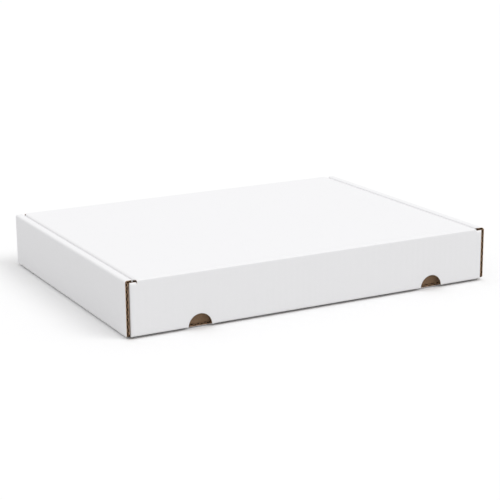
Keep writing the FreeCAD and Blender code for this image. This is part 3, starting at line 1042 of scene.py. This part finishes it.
@dataclass(frozen=True)
class Crease:
    """The crease strip between two panels that turn: the outer liner, the inner liner and the crushed flutes.

    inner_drop limits how far the inner liner follows the lid's rounded sides, and blend_inset is how far inside
    the strip's edges the bend between the two bodies starts and ends.
    """

    sizes: BoxSizes
    name: str
    front: bool
    inner_drop: float = 0.3
    blend_inset: float = 0.4

    @property
    def sign(self) -> float:
        """-1 for the front crease and 1 for the back one."""
        return -1.0 if self.front else 1.0

    def _corners(self, outside: bool) -> Outline:
        """Corners of the strip's outer or inner face, from the wall or flap over to the lid."""
        s = self.sizes
        face, top = s.crease_corner(outside)
        return [(self.sign * face, s.height - s.crease_band), (self.sign * face, top),
                (self.sign * (s.half_depth - s.crease_band), top)]

    def _drop(self, path: Path, sweep: np.ndarray) -> np.ndarray:
        """How far the strip's lid half lies below the lid's top, following the round of the lid's side folds.

        The fold's radius minus the root of its square minus the square of the way into the fold; fades out round
        the crease towards the flap or wall.

        Args:
            path: the strip's section.
            sweep: places along X for each point of the section.

        Returns:
            The drop of each point.
        """
        s = self.sizes
        radius = s.board.lid_radius
        inside = np.clip(np.abs(sweep) - (s.panel_half - radius), 0.0, radius)
        share = np.clip((path.outer[:, 1] - (s.height - s.crease_band)) / s.crease_band, 0.0, 1.0)
        return (radius - np.sqrt(radius ** 2 - inside ** 2)) * share[:, None] ** 2

    def layer(self, outside: bool) -> SheetMesh:
        """One liner of the strip, with the flutes on the outer one.

        Args:
            outside: True for the outer liner.

        Returns:
            The mesh.
        """
        s = self.sizes
        board = s.board
        radii = (board.crease_radius, board.inner_radius)
        stretch = Stretch(board, "YZ", self._corners(True), self._corners(False), radii,
                          flutes_along_sweep=False, cut_start=False, cut_end=False)
        path = stretch.path(spacing=1.0)
        turns = np.sin(np.linspace(0.0, math.pi / 2, TURN_STEPS + 1)) * board.lid_radius
        round_x = s.panel_half - board.lid_radius + turns
        near = np.concatenate([s.crease_half - np.asarray(board.edge_lines), round_x[round_x < s.crease_half]])

        def grid(spacing: float) -> Grid:
            """The strip's grid.

            Args:
                spacing: the step along X.

            Returns:
                The grid.
            """
            sweep = rows_of(even_lines(s.crease_half, spacing, np.concatenate([near, -near])), path)
            made = stretch.grid(path, sweep, (True, True))
            made.pinch = 0.0
            drop = self._drop(path, sweep)
            made.outer[..., 2] -= drop
            made.inner[..., 2] -= np.minimum(drop, self.inner_drop)
            return made

        mesh = SheetMesh(self.name + ("_outer" if outside else "_inner"), board)
        mesh.add_liner(grid(board.liner_step), outside, Finish.WHITE if outside else Finish.KRAFT)
        if outside:
            mesh.add_medium(grid(board.medium_step))
        return mesh

    def bend(self, outside: bool) -> tuple[Vector, Vector]:
        """Where a liner's bend between the two bodies starts and ends.

        Args:
            outside: True for the outer liner.

        Returns:
            A point low on the wall or flap and a point on the lid, in metres.
        """
        s = self.sizes
        face, top = s.crease_corner(outside)
        reach = s.crease_band - (0.0 if outside else s.thick) - self.blend_inset
        return (Vector((0.0, self.sign * face, top - reach)) * METRES,
                Vector((0.0, self.sign * (face - reach), top)) * METRES)


@dataclass(frozen=True)
class FrontFlap:
    """The front flap, with two half-round thumb cuts in its free lower edge.

    Its shoulders, beside the crease, end shoulder_rise above the level of the lid's underside, and its lower edge
    lies edge_rise above the thumb cuts' middles. The die squeezes its cut edges: the losses are the shares of the
    thickness that its sides, its lower edge and its thumb cuts lose.
    """

    sizes: BoxSizes
    thumb_radius: float = 10.7
    shoulder_rise: float = 0.7
    edge_rise: float = 0.1
    side_loss: float = 0.6
    bottom_loss: float = 0.25
    thumb_loss: float = 0.05

    def _columns(self, spacing: float) -> np.ndarray:
        """Places along X: even steps, the thumb cuts' rounds, and lines beside the cut edges and shoulders.

        Args:
            spacing: the width of the even steps.

        Returns:
            The places, in order.
        """
        s = self.sizes
        even = np.linspace(-s.flap_half, s.flap_half, int(2 * s.flap_half / spacing) + 1)
        rounds = s.thumb_lines(self.thumb_radius, count=49)
        edges = np.concatenate([side * (s.flap_half - np.asarray(s.board.edge_lines)) for side in (-1, 1)])
        shoulders = [side * (s.crease_half + step) for side in (-1, 1) for step in (-JUMP, JUMP)]
        line = np.unique(np.round(np.concatenate([even, rounds, edges, shoulders]), 3))
        return line[np.concatenate([[True], np.diff(line) > LEAST_COLUMN])]

    def _grid(self, spacing: float) -> Grid:
        """The flap's grid: columns along X, each from the lower edge or thumb cut up to the crease.

        The lower edge lies at the thumb circle's height, its middle plus the root of the radius squared minus the
        distance squared, or at the straight edge where that is higher.

        Args:
            spacing: the width of the even columns.

        Returns:
            The grid.
        """
        s = self.sizes
        x = self._columns(spacing)
        circle = np.sqrt(np.maximum(self.thumb_radius ** 2 - s.from_thumb(x) ** 2, 0.0))
        low = s.flap_lift + np.maximum(circle, self.edge_rise)
        joined = np.abs(x) < s.crease_half
        high = np.where(joined, s.height - s.crease_band, s.underside + self.shoulder_rise)
        z = low[:, None] + (high - low)[:, None] * s.board.spread(high - low, np.linspace(0.15, 0.85, 8))
        across = x[:, None] + 0 * z
        side = s.flap_half - np.abs(across)
        side = np.where(joined[:, None], side, np.minimum(side, high[:, None] - z))
        bottom = z - s.flap_lift - self.edge_rise
        thumb = np.abs(np.hypot(s.from_thumb(across), z - s.flap_lift) - self.thumb_radius)
        rim = np.maximum(np.minimum(np.minimum(side, bottom), thumb), 0.0)
        loss = np.where(side < bottom, self.side_loss, self.bottom_loss)
        loss = np.where(thumb < s.board.pinch_reach, self.thumb_loss, loss)
        outer, inner = (place("XZ", across, z, np.full(z.shape, -s.half_depth + depth)) for depth in (0.0, s.thick))
        return Grid(outer, inner, across, z, rim, 0 * z, None, loss)

    def flap(self) -> SheetMesh:
        """The flap. Its flutes stand upright and open at the lower edge and in the thumb cuts."""
        mesh = SheetMesh("front_flap_board", self.sizes.board)
        mesh.add_board(self._grid, liner_step=4.0)
        return mesh


class NodeGroup:
    """Builds a shader node group step by step."""

    def __init__(self, name: str, inputs: dict[str, float], outputs: Sequence[tuple[str, str]]) -> None:
        """Makes the group with its named inputs and outputs.

        Args:
            name: the group's name.
            inputs: each float input with its default.
            outputs: each output's name and socket type.
        """
        self.tree = bpy.data.node_groups.new(name, "ShaderNodeTree")
        for label, default in inputs.items():
            socket = self.tree.interface.new_socket(label, in_out="INPUT", socket_type="NodeSocketFloat")
            socket.default_value = default
        for label, kind in outputs:
            self.tree.interface.new_socket(label, in_out="OUTPUT", socket_type=kind)
        self.start = self.tree.nodes.new("NodeGroupInput")
        self.end = self.tree.nodes.new("NodeGroupOutput")

    def node(self, kind: str, **settings: object) -> bpy.types.Node:
        """Adds a node of a kind with some of its properties set."""
        made = self.tree.nodes.new(kind)
        for key, value in settings.items():
            setattr(made, key, value)
        return made

    def link(self, source: bpy.types.NodeSocket, target: bpy.types.NodeSocket) -> None:
        """Links two sockets."""
        self.tree.links.new(source, target)

    def maths(self, operation: str, first: object, second: object = 0.0) -> bpy.types.NodeSocket:
        """Adds a Math node.

        Args:
            operation: the node's operation.
            first: a socket or a number.
            second: a socket or a number.

        Returns:
            The node's output socket.
        """
        made = self.node("ShaderNodeMath", operation=operation)
        for index, value in enumerate((first, second)):
            if isinstance(value, bpy.types.NodeSocket):
                self.link(value, made.inputs[index])
            else:
                made.inputs[index].default_value = value
        return made.outputs[0]

    def noise(self, scale: float, detail: float = 2.0,
              where: Optional[bpy.types.NodeSocket] = None) -> bpy.types.NodeSocket:
        """Adds a noise texture.

        Args:
            scale: how many patches lie in a metre.
            detail: how many finer layers it has.
            where: the coordinates, or None for the piece's Object coordinates.

        Returns:
            The noise, from 0 to 1.
        """
        made = self.node("ShaderNodeTexNoise", noise_dimensions="3D")
        made.inputs["Scale"].default_value = scale
        made.inputs["Detail"].default_value = detail
        self.link(where or self.node("ShaderNodeTexCoord").outputs["Object"], made.inputs["Vector"])
        return made.outputs["Fac"]


def fibre_group() -> bpy.types.NodeTree:
    """Paper fibres: soft clouds, streaks along the flutes and fine grain, as a shade and a height.

    shade = clouds * Cloud + streaks * Streak + grain * Grain, about 0. height is grain and streaks together.
    """
    group = NodeGroup("paper_fibres", {"Cloud": 0.5, "Streak": 0.5, "Grain": 0.5},
                      (("Shade", "NodeSocketFloat"), ("Height", "NodeSocketFloat")))
    plan = group.node("ShaderNodeUVMap", uv_map="board").outputs["UV"]
    stretch = group.node("ShaderNodeMapping")
    stretch.inputs["Scale"].default_value = (1.0, 0.12, 1.0)
    group.link(plan, stretch.inputs["Vector"])
    noises = {"Cloud": group.noise(scale=160.0, detail=3.0),
              "Streak": group.noise(scale=2600.0, detail=3.0, where=stretch.outputs["Vector"]),
              "Grain": group.noise(scale=2400.0)}
    layers = {label: group.maths("SUBTRACT", noise, 0.5) for label, noise in noises.items()}
    clouds, streaks, grain = (group.maths("MULTIPLY", layers[label], group.start.outputs[label]) for label in layers)
    group.link(group.maths("ADD", group.maths("ADD", clouds, streaks), grain), group.end.inputs["Shade"])
    group.link(group.maths("ADD", layers["Streak"], layers["Grain"]), group.end.inputs["Height"])
    return group.tree


def washboard_group(board: Board) -> bpy.types.NodeTree:
    """The faint washboard that the flutes print through a liner.

    height = (1 + cos(2 pi across / pitch + drift)) / 2, with across read from the piece's map in metres and a
    drift of soft noise.
    """
    group = NodeGroup("washboard", {"Drift": 0.6}, (("Height", "NodeSocketFloat"),))
    plan = group.node("ShaderNodeUVMap", uv_map="board").outputs["UV"]
    split = group.node("ShaderNodeSeparateXYZ")
    group.link(plan, split.inputs["Vector"])
    turn = group.maths("MULTIPLY", split.outputs["X"], 2 * math.pi / (board.pitch * METRES))
    drift = group.maths("MULTIPLY", group.noise(scale=22.0), group.start.outputs["Drift"])
    wave = group.maths("COSINE", group.maths("ADD", turn, drift))
    group.link(group.maths("MULTIPLY_ADD", wave, 0.5), group.end.inputs["Height"])
    return group.tree


def wear_group() -> bpy.types.NodeTree:
    """Edge wear: a mask of scuffs along cut edges and folds.

    mask = (rim * Cut + fold * Fold) times three times the noise above Patch, so it comes and goes.
    """
    group = NodeGroup("edge_wear", {"Cut": 0.5, "Fold": 0.2, "Patch": 0.4}, (("Mask", "NodeSocketFloat"),))
    rim = group.node("ShaderNodeAttribute", attribute_name="rim").outputs["Fac"]
    fold = group.node("ShaderNodeAttribute", attribute_name="fold").outputs["Fac"]
    raised = group.maths("SUBTRACT", group.noise(scale=420.0, detail=4.0), group.start.outputs["Patch"])
    patch = group.maths("MULTIPLY", raised, 3.0)
    both = group.maths("ADD", group.maths("MULTIPLY", rim, group.start.outputs["Cut"]),
                       group.maths("MULTIPLY", fold, group.start.outputs["Fold"]))
    mask = group.maths("MULTIPLY", both, patch)
    clamp = group.node("ShaderNodeClamp")
    group.link(mask, clamp.inputs["Value"])
    group.link(clamp.outputs["Result"], group.end.inputs["Mask"])
    return group.tree


@dataclass(frozen=True)
class PaperFinish:
    """One paper surface: its colours and how strongly fibres, washboard and wear show."""

    name: str
    light: tuple[float, float, float]
    dark: tuple[float, float, float]
    worn: tuple[float, float, float]
    roughness: float
    specular: float
    cloud: float
    streak: float
    grain: float
    fibre_height: float
    washboard: float
    wear_cut: float
    wear_fold: float

    def material(self, groups: dict[str, bpy.types.NodeTree]) -> bpy.types.Material:
        """Builds the material.

        The colour runs from dark to light by the fibres' shade and is mixed with the worn colour by the wear mask.
        Fibres and washboard are bumps.

        Args:
            groups: the shared node groups.

        Returns:
            The material.
        """
        made = bpy.data.materials.new(self.name)
        made.use_nodes = True
        made.diffuse_color = (*self.light, 1.0)
        tree = made.node_tree
        shader = tree.nodes["Principled BSDF"]
        shader.inputs["Roughness"].default_value = self.roughness
        shader.inputs["Specular IOR Level"].default_value = self.specular
        placed = {}
        for label, values in (("paper_fibres", {"Cloud": self.cloud, "Streak": self.streak, "Grain": self.grain}),
                              ("washboard", {}),
                              ("edge_wear", {"Cut": self.wear_cut, "Fold": self.wear_fold})):
            node = tree.nodes.new("ShaderNodeGroup")
            node.node_tree = groups[label]
            for key, value in values.items():
                node.inputs[key].default_value = value
            placed[label] = node
        ramp = tree.nodes.new("ShaderNodeMapRange")
        ramp.inputs["From Min"].default_value = -0.5
        ramp.inputs["From Max"].default_value = 0.5
        tree.links.new(placed["paper_fibres"].outputs["Shade"], ramp.inputs["Value"])
        tone = self._mix(tree, ramp.outputs["Result"], self.dark, self.light)
        worn = self._mix(tree, placed["edge_wear"].outputs["Mask"], tone, self.worn)
        tree.links.new(worn, shader.inputs["Base Color"])
        fibre = self._bump(tree, placed["paper_fibres"].outputs["Height"], self.fibre_height, None)
        board = self._bump(tree, placed["washboard"].outputs["Height"], self.washboard, fibre)
        tree.links.new(board, shader.inputs["Normal"])
        return made

    @staticmethod
    def _mix(tree: bpy.types.NodeTree, share: bpy.types.NodeSocket, first: object,
             second: object) -> bpy.types.NodeSocket:
        """Mixes two colours.

        Args:
            tree: the material's nodes.
            share: how much of the second colour there is.
            first: the first colour, a socket or three numbers.
            second: the second colour, a socket or three numbers.

        Returns:
            The mixed colour.
        """
        mix = tree.nodes.new("ShaderNodeMix")
        mix.data_type = "RGBA"
        tree.links.new(share, mix.inputs["Factor"])
        for label, value in (("A", first), ("B", second)):
            socket = [one for one in mix.inputs if one.name == label and one.type == "RGBA"][0]
            if isinstance(value, bpy.types.NodeSocket):
                tree.links.new(value, socket)
            else:
                socket.default_value = (*value, 1.0)
        return [one for one in mix.outputs if one.type == "RGBA"][0]

    @staticmethod
    def _bump(tree: bpy.types.NodeTree, height: bpy.types.NodeSocket, depth: float,
              normal: Optional[bpy.types.NodeSocket]) -> bpy.types.NodeSocket:
        """Adds a bump over another normal.

        Args:
            tree: the material's nodes.
            height: the bump's height, a socket.
            depth: how deep the bump is, in metres.
            normal: the normal below it, or None.

        Returns:
            The bumped normal.
        """
        bump = tree.nodes.new("ShaderNodeBump")
        bump.inputs["Strength"].default_value = 1.0
        bump.inputs["Distance"].default_value = depth
        tree.links.new(height, bump.inputs["Height"])
        if normal is not None:
            tree.links.new(normal, bump.inputs["Normal"])
        return bump.outputs["Normal"]


FINISHES = {
    Finish.WHITE: PaperFinish(
        "coated_white", light=(0.872, 0.871, 0.880), dark=(0.846, 0.845, 0.854), worn=(0.60, 0.52, 0.43),
        roughness=0.6, specular=0.3, cloud=0.35, streak=0.25, grain=0.4, fibre_height=0.000012, washboard=0.00002,
        wear_cut=0.0, wear_fold=0.05),
    Finish.KRAFT: PaperFinish(
        "kraft_liner", light=(0.375, 0.247, 0.15), dark=(0.20, 0.123, 0.072), worn=(0.41, 0.29, 0.19),
        roughness=0.8, specular=0.2, cloud=0.7, streak=1.6, grain=1.3, fibre_height=0.00003, washboard=0.00004,
        wear_cut=0.3, wear_fold=0.3),
    # Brown flute paper, its colour darkened far below the kraft liner's as painted shade: it stands in for the shade
    # in the hollows between the flutes that show at cut edges.
    Finish.FLUTE: PaperFinish(
        "flute_paper_painted_shade", light=(0.11, 0.07, 0.041), dark=(0.055, 0.034, 0.02), worn=(0.20, 0.135, 0.09),
        roughness=0.85, specular=0.15, cloud=0.7, streak=1.2, grain=1.2, fibre_height=0.00004, washboard=0.0,
        wear_cut=0.3, wear_fold=0.0),
    Finish.CUT: PaperFinish(
        "cut_paper", light=(0.53, 0.34, 0.205), dark=(0.39, 0.24, 0.14), worn=(0.57, 0.41, 0.28),
        roughness=0.9, specular=0.15, cloud=0.6, streak=0.4, grain=1.4, fibre_height=0.00005, washboard=0.0,
        wear_cut=0.4, wear_fold=0.0),
}


def make_materials(board: Board) -> list[bpy.types.Material]:
    """The materials in the order of Finish.

    Args:
        board: the board, whose flute pitch the washboard follows.

    Returns:
        One material for each finish.
    """
    groups = {"paper_fibres": fibre_group(), "washboard": washboard_group(board), "edge_wear": wear_group()}
    return [FINISHES[finish].material(groups) for finish in Finish]


class MailerBox:
    """The whole box: builds each piece and dresses it, and joins the tray's, lid's and front flap's pieces to their
    bodies; the crease strips stay unjoined.
    """

    def __init__(self) -> None:
        """Reads the frame and makes the materials."""
        self.sizes = BoxSizes.from_frame()
        self.materials = make_materials(self.sizes.board)

    def _finish(self, mesh: SheetMesh) -> bpy.types.Object:
        """Makes a piece of a mesh."""
        piece = mesh.build(self.materials)
        return piece

    def tray(self) -> None:
        """Builds the tray's pieces."""
        tray = Tray(self.sizes)
        chain = self._finish(tray.base_and_sides())
        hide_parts("tray")
        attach(chain, "tray")
        for mesh in (tray.wall("tray_front_wall", True), tray.wall("tray_back_wall", False),
                     tray.bottom_fold("tray_front_fold", True), tray.bottom_fold("tray_back_fold", False),
                     tray.front_lining()):
            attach(self._finish(mesh), "tray")

    def lid(self) -> None:
        """Builds the lid's panel."""
        panel = self._finish(Lid(self.sizes).panel())
        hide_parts("lid")
        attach(panel, "lid")

    def front_flap(self) -> None:
        """Builds the front flap."""
        flap = self._finish(FrontFlap(self.sizes).flap())
        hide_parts("front_flap")
        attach(flap, "front_flap")

    def creases(self) -> None:
        """Builds the two crease strips, a piece for each layer, and works out where each layer's bend between its two
        bodies starts and ends; the layers are neither bent nor joined to a body.
        """
        for name, front, bodies in (("lid_crease", False, ("tray", "lid")),
                                    ("front_flap_crease", True, ("front_flap", "lid"))):
            crease = Crease(self.sizes, name, front)
            for outside in (True, False):
                piece = self._finish(crease.layer(outside))
                start, end = crease.bend(outside)
                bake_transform(piece)


@dataclass(frozen=True)
class Studio:
    """The plain pale studio: floor, soft lamps and the camera at the photograph's viewing angle.

    The eye is in millimetres and the angles are in degrees. floor_seen is the floor's shade to the camera and
    floor_lit its shade to light that bounces, ambient is the sky's strength as light, floor_half is in metres and
    floor_drop in millimetres.
    """

    focal_pixels: float = 1437.0
    sensor: float = 36.0
    eye: tuple[float, float, float] = (-598.1, -1134.4, 362.1)
    yaw: float = 28.022
    pitch: float = 14.923
    roll: float = -0.488
    ambient: float = 0.85
    floor_seen: float = 0.94
    floor_lit: float = 0.60
    floor_half: float = 12.0
    floor_drop: float = 0.6
    sky: tuple[float, float, float] = (0.998, 0.996, 1.0)
    key: tuple[float, float, float] = (0.10, -0.13, 0.21)
    key_softness: float = 35.0
    left_fill: tuple[float, float, float] = (-0.05, -0.02, 0.02)
    left_fill_softness: float = 70.0
    lamp_distance: float = 2.0

    def camera(self) -> None:
        """Makes the camera. It looks along (sin yaw cos pitch, cos yaw cos pitch, -sin pitch) and rolls about that."""
        yaw, pitch, roll = (math.radians(angle) for angle in (self.yaw, self.pitch, self.roll))
        ahead = Vector((math.sin(yaw) * math.cos(pitch), math.cos(yaw) * math.cos(pitch), -math.sin(pitch)))
        level = Vector((math.cos(yaw), -math.sin(yaw), 0.0))
        upright = level.cross(ahead)
        right = level * math.cos(roll) + upright * math.sin(roll)
        above = upright * math.cos(roll) - level * math.sin(roll)
        data = bpy.data.cameras.new("camera")
        data.sensor_width = self.sensor
        data.lens = self.focal_pixels * self.sensor / IMAGE_PIXELS
        data.clip_start = 0.01
        camera = bpy.data.objects.new("camera", data)
        turned = Matrix((right, above, -ahead)).transposed().to_4x4()
        camera.matrix_world = Matrix.Translation(Vector(self.eye) * METRES) @ turned
        bpy.context.scene.collection.objects.link(camera)
        bpy.context.scene.camera = camera

    def floor(self) -> None:
        """Makes the pale floor, which keeps the box's shadow. The box stands on the high spots of its bowed base."""
        h = self.floor_half
        mesh = bpy.data.meshes.new("floor")
        z = -self.floor_drop * METRES
        mesh.from_pydata([(-h, -h, z), (h, -h, z), (h, h, z), (-h, h, z)], [], [(0, 1, 2, 3)])
        floor = bpy.data.objects.new("floor", mesh)
        bpy.context.scene.collection.objects.link(floor)
        material = bpy.data.materials.new("floor_white")
        material.use_nodes = True
        tree = material.node_tree
        shader = tree.nodes["Principled BSDF"]
        shader.inputs["Roughness"].default_value = 1.0
        shader.inputs["Specular IOR Level"].default_value = 0.0
        tone = tree.nodes.new("ShaderNodeMapRange")
        tone.inputs["To Min"].default_value = self.floor_lit
        tone.inputs["To Max"].default_value = self.floor_seen
        tree.links.new(self._seen(tree), tone.inputs["Value"])
        tree.links.new(tone.outputs["Result"], shader.inputs["Base Color"])
        mesh.materials.append(material)

    @staticmethod
    def _seen(tree: bpy.types.NodeTree) -> bpy.types.NodeSocket:
        """1 for camera, glossy and transmission rays, and 0 for the rays that only carry light."""
        path = tree.nodes.new("ShaderNodeLightPath")
        either = tree.nodes.new("ShaderNodeMath")
        either.operation = "MAXIMUM"
        tree.links.new(path.outputs["Is Camera Ray"], either.inputs[0])
        tree.links.new(path.outputs["Is Glossy Ray"], either.inputs[1])
        any_of = tree.nodes.new("ShaderNodeMath")
        any_of.operation = "MAXIMUM"
        tree.links.new(either.outputs[0], any_of.inputs[0])
        tree.links.new(path.outputs["Is Transmission Ray"], any_of.inputs[1])
        return any_of.outputs[0]

    def world(self) -> None:
        """Makes an even sky: white to the camera, softer as light."""
        world = bpy.data.worlds.new("studio")
        bpy.context.scene.world = world
        world.use_nodes = True
        tree = world.node_tree
        seen = tree.nodes["Background"]
        seen.inputs["Color"].default_value = (1.0, 1.0, 1.0, 1.0)
        seen.inputs["Strength"].default_value = 1.0
        light = tree.nodes.new("ShaderNodeBackground")
        light.inputs["Color"].default_value = (*self.sky, 1.0)
        light.inputs["Strength"].default_value = self.ambient
        mix = tree.nodes.new("ShaderNodeMixShader")
        tree.links.new(self._seen(tree), mix.inputs[0])
        tree.links.new(light.outputs[0], mix.inputs[1])
        tree.links.new(seen.outputs[0], mix.inputs[2])
        tree.links.new(mix.outputs[0], tree.nodes["World Output"].inputs["Surface"])

    def lamps(self) -> None:
        """Makes two soft distant lamps: a key from the front right above, and a weak one for the left side.

        A lamp's strength is pi times the length of its light vector, which is how much it gives to a face
        turned along each axis.
        """
        for name, light, softness in (("key", self.key, self.key_softness),
                                      ("left_fill", self.left_fill, self.left_fill_softness)):
            data = bpy.data.lights.new(name, "SUN")
            data.energy = math.pi * Vector(light).length
            data.angle = math.radians(softness)
            lamp = bpy.data.objects.new(name, data)
            lamp.location = Vector(light).normalized() * self.lamp_distance
            lamp.rotation_mode = "QUATERNION"
            lamp.rotation_quaternion = (-Vector(light)).to_track_quat("-Z", "Y")
            bpy.context.scene.collection.objects.link(lamp)


def main() -> None:
    logging.basicConfig(level=logging.INFO)
    box = MailerBox()
    for step in (box.tray, box.lid, box.front_flap, box.creases):
        step()
    studio = Studio()
    for step in (studio.world, studio.lamps, studio.floor, studio.camera):
        step()
    bpy.context.scene.view_settings.view_transform = "Standard"


if __name__ == "__main__":
    main()
